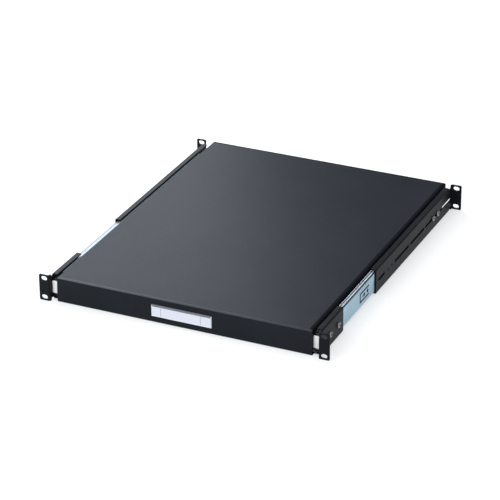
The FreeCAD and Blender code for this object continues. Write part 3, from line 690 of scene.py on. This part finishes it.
# Floor: a plain pale sheet under the shelf, clear from below. It is white to the camera and in reflections,
# grey where the shelf keeps the lamps off it, and a painted shadow takes its glow away in the narrow spaces
# under the slides' front ends.
FLOOR_WHITE = (0.50, 0.50, 0.50, 1)
FLOOR_GLOW = 0.52
FLOOR_ROUGHNESS = (0.8, 0.9)
FLOOR_HALF_SIZE = 20.0
UNDER_SLIDES = (0.2135, 0.0105)
UNDER_LENGTH = (0.040, 0.028)

floor_shape = bmesh.new()
floor_place = Matrix.Translation((0, 0, cad_box[0].z))
bmesh.ops.create_grid(floor_shape, x_segments=1, y_segments=1, size=FLOOR_HALF_SIZE, matrix=floor_place)
floor_paper, floor_tree, floor_shader, floor_spot = new_finish("floor_paper")
tooth = mottle(floor_tree, floor_spot, scale=300.0, detail=2.0)
ray = add_node(floor_tree, "LightPath").outputs
seen = math_node(floor_tree, "MAXIMUM", ray["Is Camera Ray"], ray["Is Glossy Ray"])
shown = math_node(floor_tree, "MAXIMUM", seen, ray["Is Transmission Ray"])
floor_axes = add_node(floor_tree, "SeparateXYZ", Vector=floor_spot).outputs
aside = math_node(floor_tree, "ABSOLUTE", floor_axes["X"])
# The glow stops in a patch under the slides' front ends: a painted shadow.
shadow_under_slides = patch(floor_tree, aside, floor_axes["Y"], UNDER_SLIDES, UNDER_LENGTH)
in_view = math_node(floor_tree, "SUBTRACT", shown, shadow_under_slides)
glowing = math_node(floor_tree, "MAXIMUM", in_view, 0.0)
connect(
    floor_tree,
    floor_shader,
    Base_Color=FLOOR_WHITE,
    Roughness=spread(floor_tree, tooth, *FLOOR_ROUGHNESS),
    Emission_Color=(1, 1, 1, 1),
    Emission_Strength=math_node(floor_tree, "MULTIPLY", glowing, FLOOR_GLOW),
)
from_below = add_node(floor_tree, "NewGeometry").outputs["Backfacing"]
clear = add_node(floor_tree, "BsdfTransparent").outputs["BSDF"]
one_way = add_node(floor_tree, "MixShader", Fac=from_below)
floor_tree.links.new(floor_shader.outputs["BSDF"], one_way.inputs[1])
floor_tree.links.new(clear, one_way.inputs[2])
floor_tree.links.new(one_way.outputs["Shader"], floor_tree.nodes["Material Output"].inputs["Surface"])
floor = new_piece("floor", floor_shape, floor_paper)


# Light: a pale surround that fades towards the horizon, a large soft lamp behind on the left that the
# tray's top mirrors, one overhead and two at the front. All of them are wide, so shadows stay soft.
SURROUND = (0.90, 0.94, 1.0, 1)
SURROUND_LIFT = (0.05, 0.7)
SURROUND_STRENGTH = (0.12, 0.75)
BLUISH_LIGHT = (0.86, 0.92, 1.0)
WHITE_LIGHT = (0.97, 0.98, 1.0)


def soft_lamp(name, place, aim, size, power, colour):
    lamp = bpy.data.lights.new(name, "AREA")
    lamp.shape = "RECTANGLE"
    lamp.size, lamp.size_y = size
    lamp.energy = power
    lamp.color = colour
    stand = bpy.data.objects.new(name, lamp)
    stand.location = place
    stand.rotation_euler = (Vector(aim) - Vector(place)).to_track_quat("-Z", "Y").to_euler()
    stand.visible_camera = False
    bpy.context.scene.collection.objects.link(stand)


surround = bpy.data.worlds.new("surround")
surround.use_nodes = True
surround_tree = surround.node_tree
direction = add_node(surround_tree, "TexCoord").outputs["Generated"]
upward = add_node(surround_tree, "SeparateXYZ", Vector=direction).outputs["Z"]
fade = graded(surround_tree, upward, SURROUND_LIFT, SURROUND_STRENGTH)
connect(surround_tree, surround_tree.nodes["Background"], Color=SURROUND, Strength=fade)
bpy.context.scene.world = surround
soft_lamp(
    "rear_left_lamp",
    place=(-0.95, 0.95, 0.62),
    aim=(-0.1, 0.2, 0.0),
    size=(1.3, 0.9),
    power=16.5,
    colour=BLUISH_LIGHT,
)
soft_lamp(
    "overhead_lamp",
    place=(-0.25, 0.20, 1.60),
    aim=(0.0, 0.25, 0.0),
    size=(1.4, 1.4),
    power=9.0,
    colour=WHITE_LIGHT,
)
soft_lamp(
    "front_left_lamp",
    place=(-0.60, -1.50, 0.80),
    aim=(-0.1, 0.0, 0.0),
    size=(1.0, 0.8),
    power=15.5,
    colour=WHITE_LIGHT,
)
soft_lamp(
    "front_right_lamp",
    place=(1.20, -1.20, 1.10),
    aim=(0.1, 0.10, 0.0),
    size=(1.2, 1.0),
    power=9.0,
    colour=WHITE_LIGHT,
)


# Camera: at the front on the right, well above the shelf and far off, with a long lens. The picture it
# takes is 500 by 500, and the angles and distance repeat the photograph's view.
VIEW_TURN = math.radians(24.62)
VIEW_TILT = math.radians(26.44)
VIEW_ROLL = math.radians(-0.33)
VIEW_AIM = Vector((0.00216, 0.24521, 0.0))
VIEW_DISTANCE = 3.78625
VIEW_REACH = 100.0
FOCAL_PIXELS = 2397.14
PICTURE_PIXELS = 500
SENSOR_WIDTH = 36.0

back = Vector(
    (
        math.sin(VIEW_TURN) * math.cos(VIEW_TILT),
        -math.cos(VIEW_TURN) * math.cos(VIEW_TILT),
        math.sin(VIEW_TILT),
    )
)
level_right = Vector((math.cos(VIEW_TURN), math.sin(VIEW_TURN), 0))
level_up = back.cross(level_right)
right = level_right * math.cos(VIEW_ROLL) + level_up * math.sin(VIEW_ROLL)
up = level_up * math.cos(VIEW_ROLL) - level_right * math.sin(VIEW_ROLL)
lens = bpy.data.cameras.new("camera")
lens.sensor_width = SENSOR_WIDTH
lens.lens = FOCAL_PIXELS / PICTURE_PIXELS * SENSOR_WIDTH
lens.clip_end = VIEW_REACH
camera = bpy.data.objects.new("camera", lens)
axes = Matrix((right, up, back)).transposed().to_4x4()
camera.matrix_world = Matrix.Translation(VIEW_AIM + back * VIEW_DISTANCE) @ axes
bpy.context.scene.collection.objects.link(camera)
bpy.context.scene.camera = camera
bpy.context.scene.view_settings.view_transform = "Standard"
